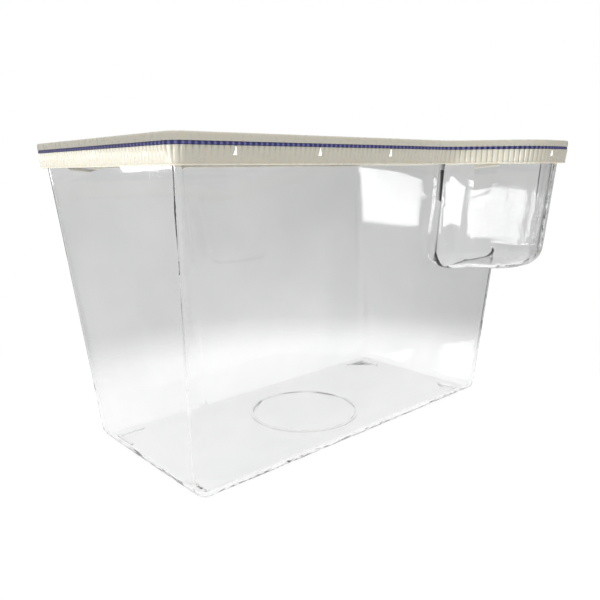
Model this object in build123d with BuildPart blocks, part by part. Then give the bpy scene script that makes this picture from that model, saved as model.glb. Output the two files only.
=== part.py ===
from build123d import *
from math import cos, radians, sin, tan
import os

# Clear rearing cage: a tapered tub with a side pocket under its rim, a ribbed
# collar round the mouth, a blue seal and a lift-off lid with a gauze vent.
# Millimetres. +X runs along the long side towards the pocket end, -Y is the
# side that the pocket stands out from, +Z is up. Origin: middle of the box
# that holds the whole cage, on the plane that the feet stand on.

# Rim outline, measured over the collar at the seal
RIM_LENGTH = 304.0
RIM_WIDTH = 170.0
RIM_CORNER = 8.0
POCKET_REACH = 43.0
POCKET_START = 202.0          # from the left end to where the front starts to bend outwards
POCKET_HEADING = 50.0         # degrees that the pocket's slanting side turns from the front
BEND_RADIUS = 23.0            # hollow bend where the front turns into the pocket
SHOULDER_RADIUS = 45.0        # round shoulder from the slanting side to the pocket's front
POCKET_CORNER = 18.0          # outer corner of the pocket at the right end

# Levels
HEIGHT = 199.0
SEAL_MIDDLE = 193.9
SEAL_THICK = 1.9
COLLAR_BOTTOM = 183.7
POCKET_BOTTOM = 109.5
FOOT_HEIGHT = 0.8

# Tub
WALL_INSET = 4.75             # wall's outer face inside the rim outline, at the collar's bottom
WALL_THICK = 2.2
FLOOR_THICK = 2.4
LEAN_LEFT = 14.5              # how far each wall leans in by the time it reaches the floor
LEAN_RIGHT = 8.0
LEAN_FRONT = 15.2
LEAN_BACK = 17.0
TUB_CORNER = 5.4              # upright corners at the collar
FLOOR_CORNER = 9.5            # and at the floor
FLOOR_EDGE = 8.0
POCKET_EDGE = 16.0
POCKET_WALL_CORNER = 16.5     # the pocket's upright outer corner at the right end
POCKET_INNER_CORNER = 18.0    # its inner corner is rounder, so the moulding is thick there
BEND_EASE = 13.0              # how much rounder the walls' outer bend is than the rim's
INNER_EASE = -19.0            # the inner bend is tighter, so the moulding is thick there
POCKET_ROOT = 24.0            # how far the pocket block reaches back into the tub
BEND_BITE = 0.4               # the pocket's bend starts this far behind the front wall's face
FLANGE_THICK = 2.0

# Ring and feet under the floor
BASE_CENTRE = (0.0, 19.0)
RING_DIAMETER = 81.0
RING_WIDTH = 1.8
FOOT_SPAN_X = 246.0
FOOT_SPAN_Y = 106.0
FOOT_LENGTH = 20.0
FOOT_WIDTH = 1.8

# Collar
COLLAR_WALL = 1.9
COLLAR_DRAFT = 1.3            # how far its foot is set in from its top
COLLAR_WEB = 1.6
COLLAR_BEAD = 1.2
BEAD_PROUD = 0.4
COLLAR_FIT = 0.1
WEB_FIT = 0.3

# Seal and lid
SEAL_INSET = 0.25
SEAL_INNER = 6.0
LID_BAR = 5.0
LID_EDGE = 1.2
LEDGE_THICK = 1.75
PANEL_THICK = 2.0
PANEL_FIT = 0.1
PLUG_INSET = 7.4
PLUG_WALL = 1.8
PLUG_BOTTOM = 188.0
INNER_CORNER = 3.0

# Vent in the lid
VENT_LENGTH = 176.0
VENT_WIDTH = 84.0
VENT_CORNER = 8.0
MESH_LAP = 4.0
MESH_THICK = 0.6
RETAINER_THICK = 1.8
RETAINER_FIT = 0.05
RIB_WALL = 1.6

LEFT = -RIM_LENGTH / 2
RIGHT = RIM_LENGTH / 2
BACK = (RIM_WIDTH + POCKET_REACH) / 2
FRONT = BACK - RIM_WIDTH
POCKET_FRONT = FRONT - POCKET_REACH
PHI = radians(POCKET_HEADING)
TURN = (BEND_RADIUS + SHOULDER_RADIUS) * (1 - cos(PHI))
SLANT = (POCKET_REACH - TURN) / sin(PHI)
SEAL_BOTTOM = SEAL_MIDDLE - SEAL_THICK / 2
SEAL_TOP = SEAL_MIDDLE + SEAL_THICK / 2
WALL_DROP = COLLAR_BOTTOM - FOOT_HEIGHT
WEB_CORNER = POCKET_WALL_CORNER + WALL_INSET     # rim corner that runs level with the outer wall
PLUG_CORNER = POCKET_INNER_CORNER + WALL_INSET + WALL_THICK


def pocket_points(inset, bite=0.0, ease=0.0):
    """Points and arc middles of the S-shaped side of the pocket, set in by inset."""
    radii = BEND_RADIUS + SHOULDER_RADIUS
    shoulder = (
        LEFT + POCKET_START + radii * sin(PHI) + SLANT * cos(PHI),
        FRONT + bite - BEND_RADIUS + radii * cos(PHI) - SLANT * sin(PHI),
    )
    shoulder_radius = SHOULDER_RADIUS - inset
    hollow = BEND_RADIUS + ease + inset
    bend = (LEFT + POCKET_START - ease * tan(PHI / 2), FRONT + bite - BEND_RADIUS - ease)
    return {
        "start": (bend[0], bend[1] + hollow),
        "bend_mid": (bend[0] + hollow * sin(PHI / 2), bend[1] + hollow * cos(PHI / 2)),
        "bend_end": (bend[0] + hollow * sin(PHI), bend[1] + hollow * cos(PHI)),
        "turn_start": (
            shoulder[0] - shoulder_radius * sin(PHI),
            shoulder[1] - shoulder_radius * cos(PHI),
        ),
        "turn_mid": (
            shoulder[0] - shoulder_radius * sin(PHI / 2),
            shoulder[1] - shoulder_radius * cos(PHI / 2),
        ),
        "turn_end": (shoulder[0], shoulder[1] - shoulder_radius),
    }


def rim_face(inset, level, pocket_corner=POCKET_CORNER, ease=0.0):
    """The rim's whole outline, set in by inset, as a face at one level."""
    turn = max(RIM_CORNER - inset, INNER_CORNER)
    pocket_turn = pocket_corner - inset
    left, right = LEFT + inset, RIGHT - inset
    front, back = FRONT + inset, BACK - inset
    outer = POCKET_FRONT + inset
    side = pocket_points(inset, ease=ease)
    with BuildSketch(Plane.XY.offset(level)) as face:
        with BuildLine():
            Line((left + turn, front), side["start"])
            ThreePointArc(side["start"], side["bend_mid"], side["bend_end"])
            Line(side["bend_end"], side["turn_start"])
            ThreePointArc(side["turn_start"], side["turn_mid"], side["turn_end"])
            Line(side["turn_end"], (right - pocket_turn, outer))
            CenterArc((right - pocket_turn, outer + pocket_turn), pocket_turn, 270, 90)
            Line((right, outer + pocket_turn), (right, back - turn))
            CenterArc((right - turn, back - turn), turn, 0, 90)
            Line((right - turn, back), (left + turn, back))
            CenterArc((left + turn, back - turn), turn, 90, 90)
            Line((left, back - turn), (left, front + turn))
            CenterArc((left + turn, front + turn), turn, 180, 90)
        make_face()
    return face.sketch


def wall_face(level, thickness):
    """One level of the tub's four walls: a rounded rectangle."""
    fall = (COLLAR_BOTTOM - level) / WALL_DROP
    inset = WALL_INSET + thickness
    left = LEFT + inset + LEAN_LEFT * fall
    right = RIGHT - inset - LEAN_RIGHT * fall
    front = FRONT + inset + LEAN_FRONT * fall
    back = BACK - inset - LEAN_BACK * fall
    turn = TUB_CORNER + (FLOOR_CORNER - TUB_CORNER) * fall - thickness
    with BuildSketch(Plane.XY.offset(level)) as face:
        with Locations(((left + right) / 2, (front + back) / 2)):
            RectangleRounded(right - left, back - front, turn)
    return face.sketch


def pocket_face(level, thickness, turn, ease):
    """One level of the pocket, from its front back into the tub."""
    fall = (COLLAR_BOTTOM - level) / WALL_DROP
    inset = WALL_INSET + thickness + LEAN_FRONT * fall
    right = RIGHT - WALL_INSET - thickness - LEAN_RIGHT * fall
    root = FRONT + inset + POCKET_ROOT
    side = pocket_points(inset, BEND_BITE, ease)
    outer = side["turn_end"][1]
    with BuildSketch(Plane.XY.offset(level)) as face:
        with BuildLine():
            ThreePointArc(side["start"], side["bend_mid"], side["bend_end"])
            Line(side["bend_end"], side["turn_start"])
            ThreePointArc(side["turn_start"], side["turn_mid"], side["turn_end"])
            Line(side["turn_end"], (right - turn, outer))
            CenterArc((right - turn, outer + turn), turn, 270, 90)
            Line((right, outer + turn), (right, root))
            Line((right, root), (side["start"][0], root))
            Line((side["start"][0], root), side["start"])
        make_face()
    return face.sketch


def tub_block(thickness, floor_level, top, floor_edge):
    """Tapered block of the tub, with rounded floor edges."""
    with BuildPart() as block:
        add(wall_face(floor_level, thickness))
        add(wall_face(top, thickness))
        loft()
        fillet(block.faces().sort_by(Axis.Z)[0].edges(), radius=floor_edge)
    return block.part


def pocket_block(thickness, floor_level, top, floor_edge, turn, ease):
    """Tapered block of the pocket, rounded along its lower outer edge."""
    with BuildPart() as block:
        add(pocket_face(floor_level, thickness, turn, ease))
        add(pocket_face(top, thickness, turn, ease))
        loft()
        bottom = block.faces().sort_by(Axis.Z)[0].edges()
        closing = [bottom.sort_by(Axis.Y)[-1], bottom.filter_by(Axis.Y).sort_by(Axis.X)[0]]
        fillet([edge for edge in bottom if edge not in closing], radius=floor_edge)
    return block.part


def vent_face(length, width, turn, level, grow):
    """A rounded rectangle centred on the lid's main field, grown by the given margin."""
    with BuildSketch(Plane.XY.offset(level)) as face:
        with Locations((0, (FRONT + BACK) / 2)):
            RectangleRounded(length + 2 * grow, width + 2 * grow, turn + grow)
    return face.sketch


def foot_face(level):
    """Outline of the ring and of the four low L-shaped feet under the floor."""
    with BuildSketch(Plane.XY.offset(level)) as face:
        with Locations(BASE_CENTRE):
            Circle(RING_DIAMETER / 2)
            Circle(RING_DIAMETER / 2 - RING_WIDTH, mode=Mode.SUBTRACT)
        for side_x in (-1, 1):
            for side_y in (-1, 1):
                x = BASE_CENTRE[0] + side_x * FOOT_SPAN_X / 2
                y = BASE_CENTRE[1] + side_y * FOOT_SPAN_Y / 2
                shift = (FOOT_LENGTH - FOOT_WIDTH) / 2
                with Locations((x - side_x * shift, y)):
                    Rectangle(FOOT_LENGTH, FOOT_WIDTH)
                with Locations((x, y - side_y * shift)):
                    Rectangle(FOOT_WIDTH, FOOT_LENGTH)
    return face.sketch


os.makedirs("parts", exist_ok=True)

# Clear tub with its side pocket, one moulding
flange_bottom = SEAL_BOTTOM - FLANGE_THICK
cut_top = SEAL_BOTTOM + 1.0
with BuildPart() as tub:
    add(tub_block(0, FOOT_HEIGHT, SEAL_BOTTOM, FLOOR_EDGE))
    outer_shape = (POCKET_WALL_CORNER, BEND_EASE)
    add(pocket_block(0, POCKET_BOTTOM, SEAL_BOTTOM, POCKET_EDGE, *outer_shape))
    add(rim_face(COLLAR_WALL + COLLAR_FIT, flange_bottom))
    extrude(amount=FLANGE_THICK)
    add(foot_face(0))
    extrude(amount=FOOT_HEIGHT)
    inner_floor = FOOT_HEIGHT + FLOOR_THICK
    add(tub_block(WALL_THICK, inner_floor, cut_top, FLOOR_EDGE - WALL_THICK), mode=Mode.SUBTRACT)
    inner_floor = POCKET_BOTTOM + FLOOR_THICK
    inner_edge = POCKET_EDGE - WALL_THICK
    inner_shape = (POCKET_INNER_CORNER, INNER_EASE)
    hollow = pocket_block(WALL_THICK, inner_floor, cut_top, inner_edge, *inner_shape)
    add(hollow, mode=Mode.SUBTRACT)
tub.part.label = "tub"
export_step(tub.part, "parts/tub.step")

# Collar: a drafted skirt round the tub's flange, with a web below that holds it on the walls
with BuildPart() as rim_collar:
    add(rim_face(COLLAR_DRAFT, COLLAR_BOTTOM))
    add(rim_face(0, SEAL_BOTTOM))
    loft()
    add(rim_face(COLLAR_DRAFT - BEAD_PROUD, COLLAR_BOTTOM))
    extrude(amount=COLLAR_BEAD)
    add(rim_face(WALL_INSET - WEB_FIT, COLLAR_BOTTOM, WEB_CORNER, BEND_EASE))
    extrude(amount=COLLAR_WEB, mode=Mode.SUBTRACT)
    add(rim_face(COLLAR_DRAFT + COLLAR_WALL, COLLAR_BOTTOM + COLLAR_WEB))
    extrude(amount=flange_bottom - COLLAR_BOTTOM - COLLAR_WEB, mode=Mode.SUBTRACT)
    add(rim_face(COLLAR_WALL, flange_bottom))
    extrude(amount=FLANGE_THICK, mode=Mode.SUBTRACT)
rim_collar.part.label = "rim_collar"
export_step(rim_collar.part, "parts/rim_collar.step")

# Seal: a flat blue ring between the tub's flange and the lid
with BuildPart() as lid_seal:
    add(rim_face(SEAL_INSET, SEAL_BOTTOM))
    extrude(amount=SEAL_THICK)
    add(rim_face(SEAL_INNER, SEAL_BOTTOM))
    extrude(amount=SEAL_THICK, mode=Mode.SUBTRACT)
lid_seal.part.label = "lid_seal"
export_step(lid_seal.part, "parts/lid_seal.step")

# Lid frame: a bar over the seal, a ledge for the panel and a locating wall inside the mouth
ledge_top = SEAL_TOP + LEDGE_THICK
with BuildPart() as lid_frame:
    add(rim_face(0, SEAL_TOP))
    extrude(amount=HEIGHT - SEAL_TOP)
    fillet(lid_frame.faces().sort_by(Axis.Z)[-1].edges(), radius=LID_EDGE)
    add(rim_face(LID_BAR, ledge_top))
    extrude(amount=HEIGHT - ledge_top, mode=Mode.SUBTRACT)
    add(rim_face(PLUG_INSET, PLUG_BOTTOM, PLUG_CORNER, INNER_EASE))
    extrude(amount=SEAL_TOP - PLUG_BOTTOM)
    add(rim_face(PLUG_INSET + PLUG_WALL, PLUG_BOTTOM, PLUG_CORNER, INNER_EASE))
    extrude(amount=ledge_top - PLUG_BOTTOM, mode=Mode.SUBTRACT)
lid_frame.part.label = "lid_frame"
export_step(lid_frame.part, "parts/lid_frame.step")

# Clear panel on the ledge, with the vent opening and a rib round the gauze underneath
retainer_bottom = ledge_top - MESH_THICK - RETAINER_THICK
rib_height = ledge_top - retainer_bottom
mesh_length = VENT_LENGTH + 2 * MESH_LAP
mesh_width = VENT_WIDTH + 2 * MESH_LAP
mesh_corner = VENT_CORNER + MESH_LAP
with BuildPart() as lid_panel:
    add(rim_face(LID_BAR + PANEL_FIT, ledge_top))
    extrude(amount=PANEL_THICK)
    add(vent_face(mesh_length, mesh_width, mesh_corner, retainer_bottom, RETAINER_FIT + RIB_WALL))
    extrude(amount=rib_height)
    add(vent_face(mesh_length, mesh_width, mesh_corner, retainer_bottom, RETAINER_FIT))
    extrude(amount=rib_height, mode=Mode.SUBTRACT)
    add(vent_face(VENT_LENGTH, VENT_WIDTH, VENT_CORNER, ledge_top, 0))
    extrude(amount=PANEL_THICK, mode=Mode.SUBTRACT)
lid_panel.part.label = "lid_panel"
export_step(lid_panel.part, "parts/lid_panel.step")

# Gauze over the vent, clamped under the panel
with BuildPart() as vent_mesh:
    add(vent_face(mesh_length, mesh_width, mesh_corner, ledge_top - MESH_THICK, 0))
    extrude(amount=MESH_THICK)
vent_mesh.part.label = "vent_mesh"
export_step(vent_mesh.part, "parts/vent_mesh.step")

# Retainer frame that presses the gauze up against the panel
with BuildPart() as mesh_retainer:
    add(vent_face(mesh_length, mesh_width, mesh_corner, retainer_bottom, 0))
    extrude(amount=RETAINER_THICK)
    add(vent_face(VENT_LENGTH, VENT_WIDTH, VENT_CORNER, retainer_bottom, 0))
    extrude(amount=RETAINER_THICK, mode=Mode.SUBTRACT)
mesh_retainer.part.label = "mesh_retainer"
export_step(mesh_retainer.part, "parts/mesh_retainer.step")
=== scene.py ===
from math import atan2, cos, hypot, pi, radians, sin, tan

import bmesh
import bpy
from mathutils import Matrix, Vector


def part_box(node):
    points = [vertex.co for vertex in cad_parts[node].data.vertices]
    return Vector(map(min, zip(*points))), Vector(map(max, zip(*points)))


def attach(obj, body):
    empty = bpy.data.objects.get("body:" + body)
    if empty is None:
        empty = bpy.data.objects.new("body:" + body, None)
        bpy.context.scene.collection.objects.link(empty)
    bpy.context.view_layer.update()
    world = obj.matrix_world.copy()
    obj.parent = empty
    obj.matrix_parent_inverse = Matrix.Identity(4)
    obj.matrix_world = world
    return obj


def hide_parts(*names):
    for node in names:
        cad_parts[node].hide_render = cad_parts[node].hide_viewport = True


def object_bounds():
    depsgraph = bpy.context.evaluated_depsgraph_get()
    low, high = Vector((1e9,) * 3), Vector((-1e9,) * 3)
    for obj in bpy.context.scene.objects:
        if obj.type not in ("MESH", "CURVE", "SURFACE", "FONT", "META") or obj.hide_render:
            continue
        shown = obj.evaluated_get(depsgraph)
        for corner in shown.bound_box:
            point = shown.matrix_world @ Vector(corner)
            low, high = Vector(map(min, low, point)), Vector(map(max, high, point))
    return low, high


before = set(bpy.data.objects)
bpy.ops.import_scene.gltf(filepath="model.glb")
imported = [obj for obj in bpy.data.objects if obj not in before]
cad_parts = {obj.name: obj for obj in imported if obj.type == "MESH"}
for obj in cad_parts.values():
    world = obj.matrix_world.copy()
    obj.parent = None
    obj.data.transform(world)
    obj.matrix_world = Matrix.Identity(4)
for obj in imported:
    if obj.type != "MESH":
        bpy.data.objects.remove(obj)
cad_low, cad_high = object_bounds()

# The look of a clear rearing cage: a clear tub with a side pocket, a ribbed
# ivory collar, a thin blue seal and a framed clear lid with a woven gauze vent.
# Metres, in the solid model's own frame: +X towards the pocket's end, -Y the side
# that the pocket stands out from, +Z up, feet on Z = 0.

MM = 0.001

# Rim outline, as in the solid model
RIM_CORNER = 8 * MM
INNER_CORNER = 3 * MM
POCKET_REACH = 43 * MM
POCKET_START = 202 * MM
POCKET_HEADING = radians(50)
BEND_RADIUS = 23 * MM
SHOULDER_RADIUS = 45 * MM
POCKET_CORNER = 18 * MM
# The pocket's corner radius, and how much rounder than the rim its bend is
RIM_SHAPE = (POCKET_CORNER, 0.0)
WEB_SHAPE = (21.25 * MM, 13 * MM)
PLUG_SHAPE = (24.95 * MM, -19 * MM)

# Levels, read from the solid model
COLLAR_BOTTOM, COLLAR_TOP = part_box("rim_collar")[0][2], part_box("rim_collar")[1][2]
SEAL_BOTTOM, SEAL_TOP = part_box("lid_seal")[0][2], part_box("lid_seal")[1][2]
FRAME_BOTTOM, FRAME_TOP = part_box("lid_frame")[0][2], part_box("lid_frame")[1][2]
LEFT, RIGHT = cad_low[0], cad_high[0]
BACK = cad_high[1]
FRONT = cad_low[1] + POCKET_REACH

# Grip ribs
RIB_PITCH = 3.5 * MM
SAMPLES_PER_RIB = 8
RIB_DEPTH = 1.1 * MM
RIB_GAP = 0.5
PLAIN_FADE = 14.0               # how quickly the ribs die away downwards on the plain sides
FADE_START = POCKET_START - 60 * MM
FADE_END = POCKET_START + 25 * MM
FAR_SIDE_START = POCKET_START + 200 * MM
FAR_SIDE_SHARE = 0.55
RIBBED_EDGE = 40                # degrees above which an edge stays crisp

# Collar section
COLLAR_DRAFT = 1.3 * MM
COLLAR_WALL = 1.9 * MM
COLLAR_WEB = 1.6 * MM
FLANGE_THICK = 2.0 * MM
WEB_HOLE = 4.45 * MM
BEAD_HEIGHT = 1.2 * MM
BEAD_PROUD = 0.4 * MM
COLLAR_ROWS = 9
ROUND_STEPS = 8

# Lid frame section
LID_BAR = 5.0 * MM
LEDGE_THICK = 1.75 * MM
PLUG_INSET = 7.4 * MM
PLUG_WALL = 1.8 * MM
LID_EDGE = 1.2 * MM
SEAL_INSET = 0.25 * MM
SEAL_INNER = 6.0 * MM
BAR_CHAMFER = 0.25 * MM
PLUG_CHAMFER = 0.3 * MM

# Clear and plain mouldings
TUB_EDGE = 13                   # degrees above which an edge stays crisp
SHEET_EDGE = 32
WELD_GAP = 0.002 * MM
CLEAR_IOR = 1.53
IVORY_IOR = 1.5

# Snap lugs under the seal
LUG_WIDTH = 2.6 * MM
LUG_HEIGHT = 4.2 * MM
LUG_PROUD = 0.55 * MM
LUG_DROP = 0.4 * MM
LUG_STEP = 58 * MM
FRONT_LUGS = [d * MM for d in (-88, -31, 27, 84, 143, 276)]     # distances round the rim
FAR_LUGS = [FRONT_LUGS[-1] + LUG_STEP * k for k in range(1, 10)]

# Gauze
WIRE_PITCH = 1.6 * MM
WIRE_RADIUS = 0.15 * MM

# Stage: the table, the window panes, the soft boxes and the room
TABLE_RADIUS = 0.6
TABLE_DROP = 0.2 * MM
TABLE_FADE = (0.17, 0.36)
TABLE_TONE = 0.3
TABLE_GLOW = 0.82
PANE_STRENGTH = 8.0
# Each pane's name, its near and far upright on the ground, and its four corner heights
PANES = (
    ("near_pane", (-0.54, 0.79), (-0.652, 0.624), (0.117, 0.112, 0.232, 0.262)),
    ("far_pane", (-0.70, 0.557), (-0.80, 0.415), (0.096, 0.094, 0.210, 0.218)),
    ("far_top_pane", (-0.70, 0.557), (-0.80, 0.415), (0.236, 0.228, 0.36, 0.36)),
)
COLLAR_POWER = 9
LUG_POWER = 12
BOUNCE_POWER = 0.22
OVERHEAD_POWER = 3
DARK_SIDE = radians(106)        # where the room is dark, turned from +Y towards +X
CLEAR_BOUNCES = 20
GLOSS_BOUNCES = 10

# Camera
CAMERA_PLACE = Vector((-0.2995, -0.3115, 0.1812))
CAMERA_HEADING = radians(41.98)
CAMERA_DIP = radians(11.88)
CAMERA_ROLL = radians(0.64)
CAMERA_LENS = 37.2
SENSOR_WIDTH = 36


# ---------------------------------------------------------------- outlines


def rim_segments(inset, shape=RIM_SHAPE):
    """The rim's outline as lines and arcs, anticlockwise, set in by inset."""
    corner, ease = shape
    turn = max(RIM_CORNER - inset, INNER_CORNER)
    pocket_turn = corner - inset
    left, right = LEFT + inset, RIGHT - inset
    front, back = FRONT + inset, BACK - inset
    outer = FRONT - POCKET_REACH + inset
    phi = POCKET_HEADING
    rise = (BEND_RADIUS + SHOULDER_RADIUS) * (1 - cos(phi))
    slant = (POCKET_REACH - rise) / sin(phi)
    bend = Vector((LEFT + POCKET_START, FRONT - BEND_RADIUS))
    across = Vector((sin(phi), cos(phi)))
    along = Vector((cos(phi), -sin(phi)))
    shoulder = bend + across * (BEND_RADIUS + SHOULDER_RADIUS) + along * slant
    bend -= Vector((ease * tan(phi / 2), ease))
    hollow, bulge = BEND_RADIUS + ease + inset, SHOULDER_RADIUS - inset
    start = Vector((bend.x, bend.y + hollow))
    turn_end = Vector((shoulder.x, shoulder.y - bulge))
    return [
        ("line", (left + turn, front), start),
        ("arc", bend, hollow, pi / 2, -phi),
        ("line", bend + across * hollow, shoulder - across * bulge),
        ("arc", shoulder, bulge, 1.5 * pi - phi, phi),
        ("line", turn_end, (right - pocket_turn, outer)),
        ("arc", (right - pocket_turn, outer + pocket_turn), pocket_turn, -pi / 2, pi / 2),
        ("line", (right, outer + pocket_turn), (right, back - turn)),
        ("arc", (right - turn, back - turn), turn, 0, pi / 2),
        ("line", (right - turn, back), (left + turn, back)),
        ("arc", (left + turn, back - turn), turn, pi / 2, pi / 2),
        ("line", (left, back - turn), (left, front + turn)),
        ("arc", (left + turn, front + turn), turn, pi, pi / 2),
    ]


def segment_length(segment):
    if segment[0] == "line":
        return hypot(segment[2][0] - segment[1][0], segment[2][1] - segment[1][1])
    return abs(segment[2] * segment[4])


def segment_point(segment, t):
    """A point part of the way along a segment, and the outward direction there."""
    if segment[0] == "line":
        a, b = Vector(segment[1]), Vector(segment[2])
        step = (b - a).normalized()
        return a.lerp(b, t), Vector((step.y, -step.x))
    centre, radius, start, sweep = segment[1:]
    angle = start + sweep * t
    ray = Vector((cos(angle), sin(angle)))
    outward = ray if sweep > 0 else -ray
    return Vector(centre) + ray * radius, outward


NOMINAL = rim_segments(0)
LENGTHS = [segment_length(s) for s in NOMINAL]
RIB_COUNT = round(sum(LENGTHS) / RIB_PITCH)
PITCH = sum(LENGTHS) / RIB_COUNT
COUNTS = [max(3, round(length / PITCH * SAMPLES_PER_RIB)) for length in LENGTHS]


def rim_loop(inset, shape=RIM_SHAPE):
    """Points round the rim set in by inset, with their outward directions and distances."""
    points, outward, distance, run = [], [], [], 0.0
    for segment, length, count in zip(rim_segments(inset, shape), LENGTHS, COUNTS):
        for k in range(count):
            p, n = segment_point(segment, k / count)
            points.append(p)
            outward.append(n)
            distance.append(run + length * k / count)
        run += length
    return points, outward, distance


def rib_reach(distance):
    """How quickly the ribs die away downwards: soon on the plain sides, slowly by the pocket."""
    t = min(max((distance - FADE_START) / (FADE_END - FADE_START), 0.0), 1.0)
    if distance > FAR_SIDE_START:
        t = FAR_SIDE_SHARE
    return PLAIN_FADE + (1 - PLAIN_FADE) * t * t * (3 - 2 * t)


def rim_ring(name, section):
    """A closed ring swept round the rim. section holds (inset, level, rib strength, shape)."""
    verts, outs, alongs, strengths, faces = [], [], [], [], []
    for inset, level, strength, *shape in section:
        points, outward, distance = rim_loop(inset, *shape)
        verts += [(p.x, p.y, level) for p in points]
        outs += [(n.x, n.y, 0.0) for n in outward]
        alongs += distance
        strengths += [strength ** rib_reach(d) for d in distance]
    n, rows = sum(COUNTS), len(section)
    for r in range(rows):
        s = (r + 1) % rows
        for k in range(n):
            j = (k + 1) % n
            faces.append((r * n + k, r * n + j, s * n + j, s * n + k))
    mesh = bpy.data.meshes.new(name)
    mesh.from_pydata(verts, [], faces)
    for label, kind, values in (("along", "FLOAT", alongs), ("rib", "FLOAT", strengths)):
        mesh.attributes.new(label, kind, "POINT").data.foreach_set("value", values)
    flat = [c for out in outs for c in out]
    mesh.attributes.new("outward", "FLOAT_VECTOR", "POINT").data.foreach_set("vector", flat)
    face_outwards(mesh)
    obj = bpy.data.objects.new(name, mesh)
    bpy.context.collection.objects.link(obj)
    return obj


def face_outwards(mesh):
    bm = bmesh.new()
    bm.from_mesh(mesh)
    bmesh.ops.recalc_face_normals(bm, faces=bm.faces)
    bm.to_mesh(mesh)
    bm.free()


def arc_section(centre_inset, centre_level, radius, start, end, steps, strength=0.0):
    """Section points on an arc. Angle 0 points outwards and 90 degrees points up."""
    out = []
    for k in range(steps + 1):
        a = radians(start + (end - start) * k / steps)
        out.append((centre_inset - radius * cos(a), centre_level + radius * sin(a), strength))
    return out


# ---------------------------------------------------------------- node helpers


def make_tree(name, inputs):
    """A new geometry node tree with a geometry input and output and named inputs."""
    tree = bpy.data.node_groups.new(name, "GeometryNodeTree")
    tree.interface.new_socket("Geometry", in_out="INPUT", socket_type="NodeSocketGeometry")
    for label, kind in inputs:
        tree.interface.new_socket(label, in_out="INPUT", socket_type=kind)
    tree.interface.new_socket("Geometry", in_out="OUTPUT", socket_type="NodeSocketGeometry")
    start = tree.nodes.new("NodeGroupInput")
    end = tree.nodes.new("NodeGroupOutput")
    return tree, start, end


def math_node(tree, operation, *values):
    node = tree.nodes.new("ShaderNodeMath")
    node.operation = operation
    wire(tree, node, values)
    return node.outputs[0]


def wire(tree, node, values):
    """Connects sockets, or sets plain values, on a node's inputs in order."""
    for socket, value in zip(node.inputs, values):
        if isinstance(value, bpy.types.NodeSocket):
            tree.links.new(value, socket)
        elif value is not None:
            socket.default_value = value


def named(tree, label, kind):
    node = tree.nodes.new("GeometryNodeInputNamedAttribute")
    node.data_type = kind
    node.inputs["Name"].default_value = label
    return node.outputs["Attribute"]


def grip_rib_tree():
    """Presses grooves between evenly spaced ribs into a ring, and gives it its material."""
    tree, start, end = make_tree(
        "grip_ribs",
        [
            ("Pitch", "NodeSocketFloat"),
            ("Depth", "NodeSocketFloat"),
            ("Gap", "NodeSocketFloat"),
            ("Material", "NodeSocketMaterial"),
        ],
    )
    place = math_node(tree, "DIVIDE", named(tree, "along", "FLOAT"), start.outputs["Pitch"])
    wave = math_node(tree, "PINGPONG", place, 0.5)
    reach = math_node(tree, "MULTIPLY", wave, 2.0)
    groove = tree.nodes.new("ShaderNodeMapRange")
    groove.interpolation_type = "SMOOTHSTEP"
    wire(tree, groove, (reach, 0.0, start.outputs["Gap"], 1.0, 0.0))
    depth = math_node(tree, "MULTIPLY", groove.outputs["Result"], start.outputs["Depth"])
    depth = math_node(tree, "MULTIPLY", depth, named(tree, "rib", "FLOAT"))
    depth = math_node(tree, "MULTIPLY", depth, -1.0)
    push = tree.nodes.new("ShaderNodeVectorMath")
    push.operation = "SCALE"
    tree.links.new(named(tree, "outward", "FLOAT_VECTOR"), push.inputs[0])
    tree.links.new(depth, push.inputs["Scale"])
    shift = tree.nodes.new("GeometryNodeSetPosition")
    tree.links.new(start.outputs["Geometry"], shift.inputs["Geometry"])
    tree.links.new(push.outputs["Vector"], shift.inputs["Offset"])
    finish_tree(tree, start, end, shift.outputs["Geometry"])
    return tree


def finish_tree(tree, start, end, geometry):
    """Ends a tree in Realize Instances and Set Material."""
    real = tree.nodes.new("GeometryNodeRealizeInstances")
    paint = tree.nodes.new("GeometryNodeSetMaterial")
    tree.links.new(geometry, real.inputs[0])
    tree.links.new(real.outputs[0], paint.inputs["Geometry"])
    tree.links.new(start.outputs["Material"], paint.inputs["Material"])
    tree.links.new(paint.outputs["Geometry"], end.inputs[0])


def grown(obj, tree, values):
    """Runs a node tree on an object and keeps the result as its plain mesh."""
    modifier = obj.modifiers.new(tree.name, "NODES")
    modifier.node_group = tree
    for item in tree.interface.items_tree:
        if item.in_out == "INPUT" and item.name in values:
            modifier[item.identifier] = values[item.name]
    depsgraph = bpy.context.evaluated_depsgraph_get()
    mesh = bpy.data.meshes.new_from_object(obj.evaluated_get(depsgraph), depsgraph=depsgraph)
    obj.modifiers.clear()
    obj.data = mesh
    return obj


def smooth(obj, angle):
    """Smooth shading that keeps edges sharper than the given angle, weighted to flat faces."""
    mesh = obj.data
    mesh.shade_smooth()
    mesh.set_sharp_from_angle(angle=radians(angle))
    weighted = obj.modifiers.new("weighted", "WEIGHTED_NORMAL")
    weighted.keep_sharp = True
    weighted.weight = 100


def finished_copy(node, name, angle):
    """A welded copy of a CAD node's mesh, with clean smooth shading."""
    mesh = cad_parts[node].data.copy()
    bm = bmesh.new()
    bm.from_mesh(mesh)
    bmesh.ops.remove_doubles(bm, verts=bm.verts, dist=WELD_GAP)
    bm.to_mesh(mesh)
    bm.free()
    mesh.name = name
    obj = bpy.data.objects.new(name, mesh)
    bpy.context.collection.objects.link(obj)
    smooth(obj, angle)
    return obj


# ---------------------------------------------------------------- materials


def new_material(name):
    material = bpy.data.materials.new(name)
    material.use_nodes = True
    nodes = material.node_tree.nodes
    shader = nodes["Principled BSDF"]
    coords = nodes.new("ShaderNodeTexCoord").outputs["Object"]
    return material, material.node_tree, shader, coords


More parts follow.
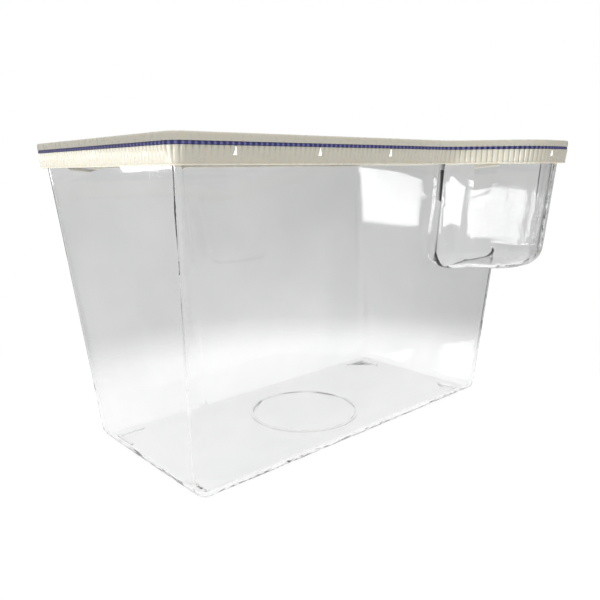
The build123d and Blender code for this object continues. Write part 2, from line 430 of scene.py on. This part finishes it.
def noise(tree, coords, scale, detail=3.0, roughness=0.5):
    node = tree.nodes.new("ShaderNodeTexNoise")
    node.inputs["Scale"].default_value = scale
    node.inputs["Detail"].default_value = detail
    node.inputs["Roughness"].default_value = roughness
    tree.links.new(coords, node.inputs["Vector"])
    return node.outputs["Fac"]


def ramp(tree, value, stops):
    """A colour ramp from value, with stops of (position, colour)."""
    node = tree.nodes.new("ShaderNodeValToRGB")
    points = node.color_ramp.elements
    points[0].position, points[0].color = stops[0][0], (*stops[0][1], 1)
    points[1].position, points[1].color = stops[-1][0], (*stops[-1][1], 1)
    for position, colour in stops[1:-1]:
        points.new(position).color = (*colour, 1)
    tree.links.new(value, node.inputs["Fac"])
    return node.outputs["Color"]


def bump(tree, height, distance, strength, below=None):
    node = tree.nodes.new("ShaderNodeBump")
    node.inputs["Distance"].default_value = distance
    node.inputs["Strength"].default_value = strength
    tree.links.new(height, node.inputs["Height"])
    if below is not None:
        tree.links.new(below, node.inputs["Normal"])
    return node.outputs["Normal"]


def clear_plastic():
    """Clear moulded plastic with flow ripple, a faint smoke tint and fine handling haze."""
    material, tree, shader, coords = new_material("clear_moulded_plastic")
    cloud = noise(tree, coords, 14.0, 4.0, 0.6)
    tint = ramp(tree, cloud, [(0.3, (0.93, 0.935, 0.935)), (0.7, (0.985, 0.985, 0.985))])
    tree.links.new(tint, shader.inputs["Base Color"])
    haze = noise(tree, coords, 60.0, 5.0, 0.65)
    rough = ramp(tree, haze, [(0.35, (0.015,) * 3), (0.75, (0.06,) * 3)])
    tree.links.new(rough, shader.inputs["Roughness"])
    ripple = bump(tree, noise(tree, coords, 18.0, 2.0, 0.4), 1.0 * MM, 0.05)
    tree.links.new(ripple, shader.inputs["Normal"])
    shader.inputs["Transmission Weight"].default_value = 1.0
    shader.inputs["IOR"].default_value = CLEAR_IOR
    return material


def ivory_plastic():
    """Satin ivory plastic, a little translucent, with soft mottling and a fine skin."""
    material, tree, shader, coords = new_material("ivory_moulded_plastic")
    cloud = noise(tree, coords, 25.0, 4.0, 0.55)
    stops = [(0.3, (0.735, 0.705, 0.60)), (0.55, (0.76, 0.73, 0.63)), (0.8, (0.79, 0.76, 0.67))]
    tree.links.new(ramp(tree, cloud, stops), shader.inputs["Base Color"])
    haze = noise(tree, coords, 300.0, 3.0)
    rough = ramp(tree, haze, [(0.3, (0.24,) * 3), (0.8, (0.38,) * 3)])
    tree.links.new(rough, shader.inputs["Roughness"])
    skin = bump(tree, noise(tree, coords, 900.0, 2.0), 0.02 * MM, 0.4)
    tree.links.new(skin, shader.inputs["Normal"])
    shader.inputs["Subsurface Weight"].default_value = 0.5
    shader.inputs["Subsurface Radius"].default_value = (0.6, 0.5, 0.35)
    shader.inputs["Subsurface Scale"].default_value = 4 * MM
    shader.inputs["IOR"].default_value = IVORY_IOR
    return material


def lug_plastic():
    """The same kind of plastic, paler and whiter than the ivory, for the snap lugs."""
    material, tree, shader, coords = new_material("rubbed_lug_plastic")
    cloud = noise(tree, coords, 600.0, 3.0)
    stops = [(0.3, (0.88, 0.87, 0.80)), (0.8, (0.95, 0.945, 0.90))]
    tree.links.new(ramp(tree, cloud, stops), shader.inputs["Base Color"])
    rough = ramp(tree, noise(tree, coords, 900.0), [(0.3, (0.2,) * 3), (0.8, (0.35,) * 3)])
    tree.links.new(rough, shader.inputs["Roughness"])
    return material


def blue_rubber():
    """Dark blue rubber, with a painted highlight in pale blue where each grip rib crest crosses
    it.
    """
    material, tree, shader, coords = new_material("blue_seal_rubber")
    cloud = noise(tree, coords, 220.0, 4.0)
    stops = [(0.3, (0.012, 0.014, 0.13)), (0.75, (0.035, 0.035, 0.24))]
    # Painted highlight: a pale blue laid on each rib crest, where light catches the ribs
    crest_highlight = [(0.3, (0.17, 0.17, 0.42)), (0.75, (0.25, 0.25, 0.52))]
    along = tree.nodes.new("ShaderNodeAttribute")
    along.attribute_name = "along"
    beat = math_node(tree, "PINGPONG", math_node(tree, "DIVIDE", along.outputs["Fac"], PITCH), 0.5)
    crest = tree.nodes.new("ShaderNodeMapRange")
    crest.interpolation_type = "SMOOTHSTEP"
    wire(tree, crest, (beat, 0.14, 0.46, 0.0, 1.0))
    mix = tree.nodes.new("ShaderNodeMix")
    mix.data_type = "RGBA"
    tree.links.new(crest.outputs["Result"], mix.inputs["Factor"])
    tree.links.new(ramp(tree, cloud, stops), mix.inputs["A"])
    tree.links.new(ramp(tree, cloud, crest_highlight), mix.inputs["B"])
    tree.links.new(mix.outputs["Result"], shader.inputs["Base Color"])
    rough = ramp(tree, noise(tree, coords, 500.0), [(0.3, (0.35,) * 3), (0.8, (0.55,) * 3)])
    tree.links.new(rough, shader.inputs["Roughness"])
    skin = bump(tree, noise(tree, coords, 1500.0), 0.03 * MM, 0.5)
    tree.links.new(skin, shader.inputs["Normal"])
    return material


def gauze_wire():
    """Dark drawn wire, dulled by handling."""
    material, tree, shader, coords = new_material("gauze_wire")
    cloud = noise(tree, coords, 400.0, 3.0)
    stops = [(0.3, (0.055, 0.057, 0.06)), (0.75, (0.11, 0.112, 0.118))]
    tree.links.new(ramp(tree, cloud, stops), shader.inputs["Base Color"])
    rough = ramp(tree, noise(tree, coords, 900.0), [(0.3, (0.22,) * 3), (0.8, (0.42,) * 3)])
    tree.links.new(rough, shader.inputs["Roughness"])
    skin = bump(tree, noise(tree, coords, 3000.0), 0.02 * MM, 0.4)
    tree.links.new(skin, shader.inputs["Normal"])
    shader.inputs["Metallic"].default_value = 0.3
    return material


CLEAR = clear_plastic()
IVORY = ivory_plastic()
LUG = lug_plastic()
BLUE = blue_rubber()
WIRE = gauze_wire()
RIBS = grip_rib_tree()
RIB_VALUES = {"Pitch": PITCH, "Depth": RIB_DEPTH, "Gap": RIB_GAP}


def stands_for(piece, body, node):
    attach(piece, body)
    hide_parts(node)


# ---------------------------------------------------------------- pieces


def make_tub():
    tub = finished_copy("tub", "clear_tub", TUB_EDGE)
    tub.data.materials.clear()
    tub.data.materials.append(CLEAR)
    tub.visible_shadow = False
    stands_for(tub, "base", "tub")


def make_collar():
    flange_bottom = COLLAR_TOP - FLANGE_THICK
    web_top = COLLAR_BOTTOM + COLLAR_WEB
    bead = BEAD_HEIGHT / 2
    bead_inset = COLLAR_DRAFT - BEAD_PROUD + bead
    fall = COLLAR_TOP - COLLAR_BOTTOM
    section = [(0.25 * MM, COLLAR_TOP, 0.9), (0.06 * MM, COLLAR_TOP - 0.12 * MM, 1.0)]
    for k in range(COLLAR_ROWS + 1):
        down = k / COLLAR_ROWS
        drop = 0.3 * MM + (fall - BEAD_HEIGHT - 0.5 * MM) * down
        section.append((COLLAR_DRAFT * drop / fall, COLLAR_TOP - drop, 1.0 - 0.25 * down))
    section += arc_section(bead_inset, COLLAR_BOTTOM + bead, bead, 55, -90, ROUND_STEPS, 0.3)
    section += [
        (WEB_HOLE, COLLAR_BOTTOM, 0, WEB_SHAPE),
        (WEB_HOLE, web_top, 0, WEB_SHAPE),
        (COLLAR_DRAFT + COLLAR_WALL, web_top, 0),
        (COLLAR_DRAFT + COLLAR_WALL, flange_bottom, 0),
        (COLLAR_WALL, flange_bottom, 0),
        (COLLAR_WALL, COLLAR_TOP, 0),
    ]
    collar = rim_ring("ribbed_collar", section)
    grown(collar, RIBS, {**RIB_VALUES, "Material": IVORY})
    smooth(collar, RIBBED_EDGE)
    stands_for(collar, "base", "rim_collar")


def make_seal():
    half = (SEAL_TOP - SEAL_BOTTOM) / 2
    middle = (SEAL_TOP + SEAL_BOTTOM) / 2
    section = arc_section(SEAL_INSET + half, middle, half, 90, -90, ROUND_STEPS, 0.55)
    section += [(SEAL_INNER, SEAL_BOTTOM, 0), (SEAL_INNER, SEAL_TOP, 0)]
    seal = rim_ring("blue_seal", section)
    grown(seal, RIBS, {**RIB_VALUES, "Material": BLUE})
    smooth(seal, RIBBED_EDGE)
    stands_for(seal, "lid_assembly", "lid_seal")


def make_lid_frame():
    ledge_top = SEAL_TOP + LEDGE_THICK
    plug_inner = PLUG_INSET + PLUG_WALL
    section = [(0.2 * MM, SEAL_TOP, 0.9), (0.05 * MM, SEAL_TOP + 0.15 * MM, 0.9)]
    for rise, strength in ((0.5, 0.8), (0.8, 0.6), (1.05, 0.3), (1.3, 0.08), (1.6, 0)):
        section.append((0.02 * MM, SEAL_TOP + rise * MM, strength))
    section += arc_section(LID_EDGE, FRAME_TOP - LID_EDGE, LID_EDGE, 0, 90, ROUND_STEPS)
    section += [
        (LID_BAR - BAR_CHAMFER, FRAME_TOP, 0),
        (LID_BAR, FRAME_TOP - BAR_CHAMFER, 0),
        (LID_BAR, ledge_top, 0),
        (plug_inner, ledge_top, 0, PLUG_SHAPE),
        (plug_inner, FRAME_BOTTOM + PLUG_CHAMFER, 0, PLUG_SHAPE),
        (plug_inner - PLUG_CHAMFER, FRAME_BOTTOM, 0, PLUG_SHAPE),
        (PLUG_INSET + PLUG_CHAMFER, FRAME_BOTTOM, 0, PLUG_SHAPE),
        (PLUG_INSET, FRAME_BOTTOM + PLUG_CHAMFER, 0, PLUG_SHAPE),
        (PLUG_INSET, SEAL_TOP, 0, PLUG_SHAPE),
    ]
    lid = rim_ring("ribbed_lid_frame", section)
    grown(lid, RIBS, {**RIB_VALUES, "Material": IVORY})
    smooth(lid, RIBBED_EDGE)
    stands_for(lid, "lid_assembly", "lid_frame")


def make_lid_panel():
    panel = finished_copy("lid_panel", "clear_lid_panel", SHEET_EDGE)
    panel.data.materials.clear()
    panel.data.materials.append(CLEAR)
    panel.visible_shadow = False
    stands_for(panel, "lid_assembly", "lid_panel")


def make_retainer():
    retainer = finished_copy("mesh_retainer", "gauze_retainer", SHEET_EDGE)
    retainer.data.materials.clear()
    retainer.data.materials.append(IVORY)
    stands_for(retainer, "lid_assembly", "mesh_retainer")


def wavy_wire(name, length, count, phase):
    """One straight wire along X that waves over and under its neighbours."""
    sides, steps = 4, count * 2
    verts, faces = [], []
    for k in range(steps + 1):
        x = length * (k / steps - 0.5)
        lift = WIRE_RADIUS * cos(pi * k / 2 + phase)
        for s in range(sides):
            a = 2 * pi * s / sides
            verts.append((x, WIRE_RADIUS * cos(a), lift + WIRE_RADIUS * sin(a)))
    for k in range(steps):
        for s in range(sides):
            t = (s + 1) % sides
            faces.append((k * sides + s, k * sides + t, (k + 1) * sides + t, (k + 1) * sides + s))
    faces.append(tuple(range(sides)))
    faces.append(tuple(steps * sides + s for s in reversed(range(sides))))
    mesh = bpy.data.meshes.new(name)
    mesh.from_pydata(verts, [], faces)
    face_outwards(mesh)
    return bpy.data.objects.new(name, mesh)


def gauze_tree():
    """Lays wires in a row across a sheet, turned a half wave from one to the next."""
    tree, start, end = make_tree(
        "gauze_weave",
        [
            ("Wire", "NodeSocketObject"),
            ("Count", "NodeSocketInt"),
            ("Spacing", "NodeSocketFloat"),
            ("Turn", "NodeSocketFloat"),
            ("Centre", "NodeSocketVector"),
            ("Material", "NodeSocketMaterial"),
        ],
    )
    line = tree.nodes.new("GeometryNodeMeshLine")
    tree.links.new(start.outputs["Count"], line.inputs["Count"])
    step = tree.nodes.new("ShaderNodeCombineXYZ")
    tree.links.new(start.outputs["Spacing"], step.inputs["Y"])
    tree.links.new(step.outputs[0], line.inputs["Offset"])
    wire_in = tree.nodes.new("GeometryNodeObjectInfo")
    tree.links.new(start.outputs["Wire"], wire_in.inputs["Object"])
    place = tree.nodes.new("GeometryNodeInstanceOnPoints")
    tree.links.new(line.outputs["Mesh"], place.inputs["Points"])
    tree.links.new(wire_in.outputs["Geometry"], place.inputs["Instance"])
    index = tree.nodes.new("GeometryNodeInputIndex")
    odd = math_node(tree, "MODULO", index.outputs[0], 2.0)
    half = math_node(tree, "MULTIPLY", odd, pi)
    roll = tree.nodes.new("ShaderNodeCombineXYZ")
    tree.links.new(half, roll.inputs["X"])
    tree.links.new(roll.outputs[0], place.inputs["Rotation"])
    gaps = math_node(tree, "SUBTRACT", start.outputs["Count"], 1.0)
    span = math_node(tree, "MULTIPLY", gaps, start.outputs["Spacing"])
    back = math_node(tree, "MULTIPLY", span, -0.5)
    middle = tree.nodes.new("ShaderNodeCombineXYZ")
    tree.links.new(back, middle.inputs["Y"])
    centre = tree.nodes.new("GeometryNodeTransform")
    tree.links.new(place.outputs[0], centre.inputs["Geometry"])
    tree.links.new(middle.outputs[0], centre.inputs["Translation"])
    swing = tree.nodes.new("ShaderNodeCombineXYZ")
    tree.links.new(start.outputs["Turn"], swing.inputs["Z"])
    turned = tree.nodes.new("GeometryNodeTransform")
    tree.links.new(centre.outputs["Geometry"], turned.inputs["Geometry"])
    tree.links.new(start.outputs["Centre"], turned.inputs["Translation"])
    tree.links.new(swing.outputs[0], turned.inputs["Rotation"])
    finish_tree(tree, start, end, turned.outputs["Geometry"])
    return tree


def make_gauze():
    low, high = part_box("vent_mesh")
    centre = (Vector(low) + Vector(high)) / 2
    size = Vector(high) - Vector(low)
    tree = gauze_tree()
    across = int(size.x / WIRE_PITCH) - 1
    down = int(size.y / WIRE_PITCH) - 1
    long_wire = wavy_wire("long_wire", across * WIRE_PITCH, across, 0.0)
    short_wire = wavy_wire("short_wire", down * WIRE_PITCH, down, pi / 2)
    for name, wire_obj, count, turn in (
        ("gauze_long_wires", long_wire, down, 0.0),
        ("gauze_cross_wires", short_wire, across, pi / 2),
    ):
        mesh = bpy.data.meshes.new(name)
        gauze = bpy.data.objects.new(name, mesh)
        bpy.context.collection.objects.link(gauze)
        bpy.context.collection.objects.link(wire_obj)
        values = {"Wire": wire_obj, "Count": count, "Spacing": WIRE_PITCH, "Turn": turn}
        grown(gauze, tree, {**values, "Centre": centre, "Material": WIRE})
        bpy.data.objects.remove(wire_obj)
        gauze.data.shade_smooth()
        stands_for(gauze, "lid_assembly", "vent_mesh")


def snap_lug():
    """One lug: a small wedge, widest and proudest at its foot, leaning to one side."""
    half, thin = LUG_WIDTH / 2, LUG_WIDTH / 8
    lean = LUG_WIDTH / 4
    foot = [(-half, 0), (half, 0), (half * 0.7, -LUG_PROUD), (-half * 0.7, -LUG_PROUD)]
    tip = [(lean - thin, 0), (lean + thin, 0), (lean + thin, -0.2 * MM), (lean - thin, -0.2 * MM)]
    verts = [(x, y, 0.0) for x, y in foot] + [(x, y, LUG_HEIGHT) for x, y in tip]
    sides = [(k, (k + 1) % 4, (k + 1) % 4 + 4, k + 4) for k in range(4)]
    mesh = bpy.data.meshes.new("snap_lug")
    mesh.from_pydata(verts, [], sides + [(3, 2, 1, 0), (4, 5, 6, 7)])
    face_outwards(mesh)
    return bpy.data.objects.new("snap_lug", mesh)


def lug_tree():
    """Stands a lug at every point, turned by the point's own angle."""
    tree, start, end = make_tree(
        "snap_lugs", [("Lug", "NodeSocketObject"), ("Material", "NodeSocketMaterial")]
    )
    shape = tree.nodes.new("GeometryNodeObjectInfo")
    tree.links.new(start.outputs["Lug"], shape.inputs["Object"])
    points = tree.nodes.new("GeometryNodeMeshToPoints")
    tree.links.new(start.outputs["Geometry"], points.inputs["Mesh"])
    place = tree.nodes.new("GeometryNodeInstanceOnPoints")
    tree.links.new(points.outputs["Points"], place.inputs["Points"])
    tree.links.new(shape.outputs["Geometry"], place.inputs["Instance"])
    roll = tree.nodes.new("ShaderNodeCombineXYZ")
    tree.links.new(named(tree, "turn", "FLOAT"), roll.inputs["Z"])
    tree.links.new(roll.outputs[0], place.inputs["Rotation"])
    finish_tree(tree, start, end, place.outputs[0])
    return tree


def make_lugs():
    foot_drop = LUG_DROP + LUG_HEIGHT
    inset = COLLAR_DRAFT * foot_drop / (COLLAR_TOP - COLLAR_BOTTOM) + 0.02 * MM
    points, outward, distance = rim_loop(inset)
    total = sum(LENGTHS)
    verts, turns = [], []
    for wanted in FRONT_LUGS + FAR_LUGS:
        k = min(range(len(distance)), key=lambda i: abs(distance[i] - wanted % total))
        verts.append((points[k].x, points[k].y, COLLAR_TOP - foot_drop))
        turns.append(atan2(outward[k].y, outward[k].x) + pi / 2)
    mesh = bpy.data.meshes.new("snap_lugs")
    mesh.from_pydata(verts, [], [])
    mesh.attributes.new("turn", "FLOAT", "POINT").data.foreach_set("value", turns)
    lugs = bpy.data.objects.new("snap_lugs", mesh)
    bpy.context.collection.objects.link(lugs)
    lug = snap_lug()
    bpy.context.collection.objects.link(lug)
    grown(lugs, lug_tree(), {"Lug": lug, "Material": LUG})
    bpy.data.objects.remove(lug)
    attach(lugs, "base")


make_tub()
make_collar()
make_lugs()
make_seal()
make_lid_frame()
make_lid_panel()
make_retainer()
make_gauze()


# ---------------------------------------------------------------- stage


def make_floor():
    """A round pale table top whose edge fades away."""
    bpy.ops.mesh.primitive_circle_add(vertices=128, radius=TABLE_RADIUS, fill_type="NGON")
    floor = bpy.context.object
    floor.name = "floor"
    floor.data.transform(Matrix.Translation((0, 0, -TABLE_DROP)))
    material = bpy.data.materials.new("pale_table")
    material.use_nodes = True
    tree = material.node_tree
    tree.nodes.clear()
    coords = tree.nodes.new("ShaderNodeTexCoord").outputs["Object"]
    reach = tree.nodes.new("ShaderNodeVectorMath")
    reach.operation = "LENGTH"
    tree.links.new(coords, reach.inputs[0])
    fade = tree.nodes.new("ShaderNodeMapRange")
    fade.interpolation_type = "SMOOTHSTEP"
    wire(tree, fade, (reach.outputs["Value"], *TABLE_FADE, 1.0, 0.0))
    paint = tree.nodes.new("ShaderNodeBsdfDiffuse")
    paint.inputs["Color"].default_value = (*(TABLE_TONE,) * 3, 1)
    glow = tree.nodes.new("ShaderNodeEmission")
    glow.inputs["Strength"].default_value = TABLE_GLOW
    both = tree.nodes.new("ShaderNodeAddShader")
    tree.links.new(paint.outputs[0], both.inputs[0])
    tree.links.new(glow.outputs[0], both.inputs[1])
    gone = tree.nodes.new("ShaderNodeBsdfTransparent")
    mix = tree.nodes.new("ShaderNodeMixShader")
    tree.links.new(fade.outputs["Result"], mix.inputs[0])
    tree.links.new(gone.outputs[0], mix.inputs[1])
    tree.links.new(both.outputs[0], mix.inputs[2])
    out = tree.nodes.new("ShaderNodeOutputMaterial")
    tree.links.new(mix.outputs[0], out.inputs["Surface"])
    floor.data.materials.append(material)


def make_world():
    """A plain white surround, with a soft grey room for what the plastic mirrors and bends."""
    world = bpy.data.worlds.new("studio")
    bpy.context.scene.world = world
    world.use_nodes = True
    tree = world.node_tree
    tree.nodes.clear()
    direction = tree.nodes.new("ShaderNodeTexCoord").outputs["Generated"]
    split = tree.nodes.new("ShaderNodeSeparateXYZ")
    tree.links.new(direction, split.inputs[0])
    height = tree.nodes.new("ShaderNodeMapRange")
    wire(tree, height, (split.outputs["Z"], -1.0, 1.0, 0.0, 1.0))
    levels = [(0.0, (0.8,) * 3), (0.44, (0.66,) * 3), (0.52, (0.62,) * 3), (0.7, (0.56,) * 3)]
    plain = ramp(tree, height.outputs["Result"], levels + [(1.0, (0.95,) * 3)])
    drift = noise(tree, direction, 3.5, 3.0, 0.55)
    cloud = ramp(tree, drift, [(0.3, (0.88,) * 3), (0.7, (1.1,) * 3)])
    clouded = tree.nodes.new("ShaderNodeMix")
    clouded.data_type = "RGBA"
    clouded.blend_type = "MULTIPLY"
    clouded.inputs["Factor"].default_value = 1.0
    tree.links.new(plain, clouded.inputs["A"])
    tree.links.new(cloud, clouded.inputs["B"])
    aside = tree.nodes.new("ShaderNodeVectorMath")
    aside.operation = "DOT_PRODUCT"
    tree.links.new(direction, aside.inputs[0])
    aside.inputs[1].default_value = (sin(DARK_SIDE), cos(DARK_SIDE), 0.0)
    shade_side = tree.nodes.new("ShaderNodeMapRange")
    shade_side.interpolation_type = "SMOOTHSTEP"
    wire(tree, shade_side, (aside.outputs["Value"], 0.84, 0.95, 1.0, 0.2))
    flagged = tree.nodes.new("ShaderNodeMix")
    flagged.data_type = "RGBA"
    flagged.blend_type = "MULTIPLY"
    flagged.inputs["Factor"].default_value = 1.0
    tree.links.new(clouded.outputs["Result"], flagged.inputs["A"])
    tree.links.new(shade_side.outputs["Result"], flagged.inputs["B"])
    room = flagged.outputs["Result"]
    sight = tree.nodes.new("ShaderNodeLightPath").outputs["Is Camera Ray"]
    mix = tree.nodes.new("ShaderNodeMix")
    mix.data_type = "RGBA"
    tree.links.new(sight, mix.inputs["Factor"])
    tree.links.new(room, mix.inputs["A"])
    mix.inputs["B"].default_value = (1, 1, 1, 1)
    shade = tree.nodes.new("ShaderNodeBackground")
    tree.links.new(mix.outputs["Result"], shade.inputs["Color"])
    out = tree.nodes.new("ShaderNodeOutputWorld")
    tree.links.new(shade.outputs[0], out.inputs["Surface"])


def make_light(name, place, target, width, height, power):
    """A soft box at place, turned to face target, that no camera sees."""
    data = bpy.data.lights.new(name, "AREA")
    data.shape = "RECTANGLE"
    data.size, data.size_y = width, height
    data.energy = power
    light = bpy.data.objects.new(name, data)
    bpy.context.collection.objects.link(light)
    aim = Vector(target) - Vector(place)
    turn = aim.to_track_quat("-Z", "Y").to_matrix().to_4x4()
    light.matrix_world = Matrix.Translation(place) @ turn
    light.visible_camera = False
    light.visible_transmission = False
    return light


def make_pane(name, corners):
    """A bright window pane that only shows as a mirror image in the clear walls."""
    mesh = bpy.data.meshes.new(name)
    mesh.from_pydata(corners, [], [(0, 1, 2, 3)])
    pane = bpy.data.objects.new(name, mesh)
    bpy.context.collection.objects.link(pane)
    material = bpy.data.materials.new(name)
    material.use_nodes = True
    tree = material.node_tree
    tree.nodes.clear()
    coords = tree.nodes.new("ShaderNodeTexCoord").outputs["Object"]
    glow = tree.nodes.new("ShaderNodeEmission")
    glow.inputs["Strength"].default_value = PANE_STRENGTH
    sky = ramp(tree, noise(tree, coords, 6.0), [(0.3, (0.8,) * 3), (0.6, (1,) * 3)])
    tree.links.new(sky, glow.inputs["Color"])
    out = tree.nodes.new("ShaderNodeOutputMaterial")
    tree.links.new(glow.outputs[0], out.inputs["Surface"])
    mesh.materials.append(material)
    pane.visible_camera = False
    return pane


def only_lights(source, *pieces):
    """Keeps a light's effect to the named pieces."""
    lit = bpy.data.collections.new("lit_by_" + source.name)
    for piece in pieces:
        lit.objects.link(bpy.data.objects[piece])
    source.light_linking.receiver_collection = lit


def make_window():
    """A long low window to the left of the back: three panes with a post and a rail between."""
    for name, near, far, levels in PANES:
        feet = (near, far, far, near)
        pane = make_pane(name, [(*p, z) for p, z in zip(feet, levels)])
        only_lights(pane, "clear_tub", "clear_lid_panel")


def make_camera():
    heading, dip, roll = CAMERA_HEADING, CAMERA_DIP, CAMERA_ROLL
    level = Vector((sin(heading), cos(heading), 0))
    down = Vector((0, 0, -1))
    side = Vector((cos(heading), -sin(heading), 0))
    ahead = level * cos(dip) + down * sin(dip)
    under = down * cos(dip) - level * sin(dip)
    right = side * cos(roll) + under * sin(roll)
    below = under * cos(roll) - side * sin(roll)
    turn = Matrix((right, -below, -ahead)).transposed()
    data = bpy.data.cameras.new("camera")
    data.lens = CAMERA_LENS
    data.sensor_width = SENSOR_WIDTH
    data.clip_start = 0.01
    camera = bpy.data.objects.new("camera", data)
    bpy.context.collection.objects.link(camera)
    camera.matrix_world = Matrix.Translation(CAMERA_PLACE) @ turn.to_4x4()
    bpy.context.scene.camera = camera


make_floor()
make_world()
make_window()
collar_light = make_light(
    "collar_light", (-1.2, 0.25, -0.1), (-0.15, 0, 0.19), 0.5, 0.5, COLLAR_POWER
)
only_lights(collar_light, "ribbed_collar", "snap_lugs")
lug_light = make_light("lug_light", (-0.2, -1.2, 0.5), (0, -0.07, 0.19), 0.3, 0.3, LUG_POWER)
only_lights(lug_light, "snap_lugs")
bounce = make_light(
    "table_bounce", (0, 0.01, 0.02), (0, 0.01, 0.19), 0.24, 0.1, BOUNCE_POWER
)
only_lights(bounce, "ribbed_collar", "ribbed_lid_frame", "gauze_retainer")
make_light("overhead", (0.1, 0.2, 1.5), (0, 0, 0), 1.4, 1.4, OVERHEAD_POWER)
make_camera()
scene = bpy.context.scene
scene.cycles.max_bounces = CLEAR_BOUNCES
scene.cycles.transmission_bounces = CLEAR_BOUNCES
scene.cycles.glossy_bounces = GLOSS_BOUNCES
scene.cycles.use_denoising = True
scene.view_settings.view_transform = "Standard"
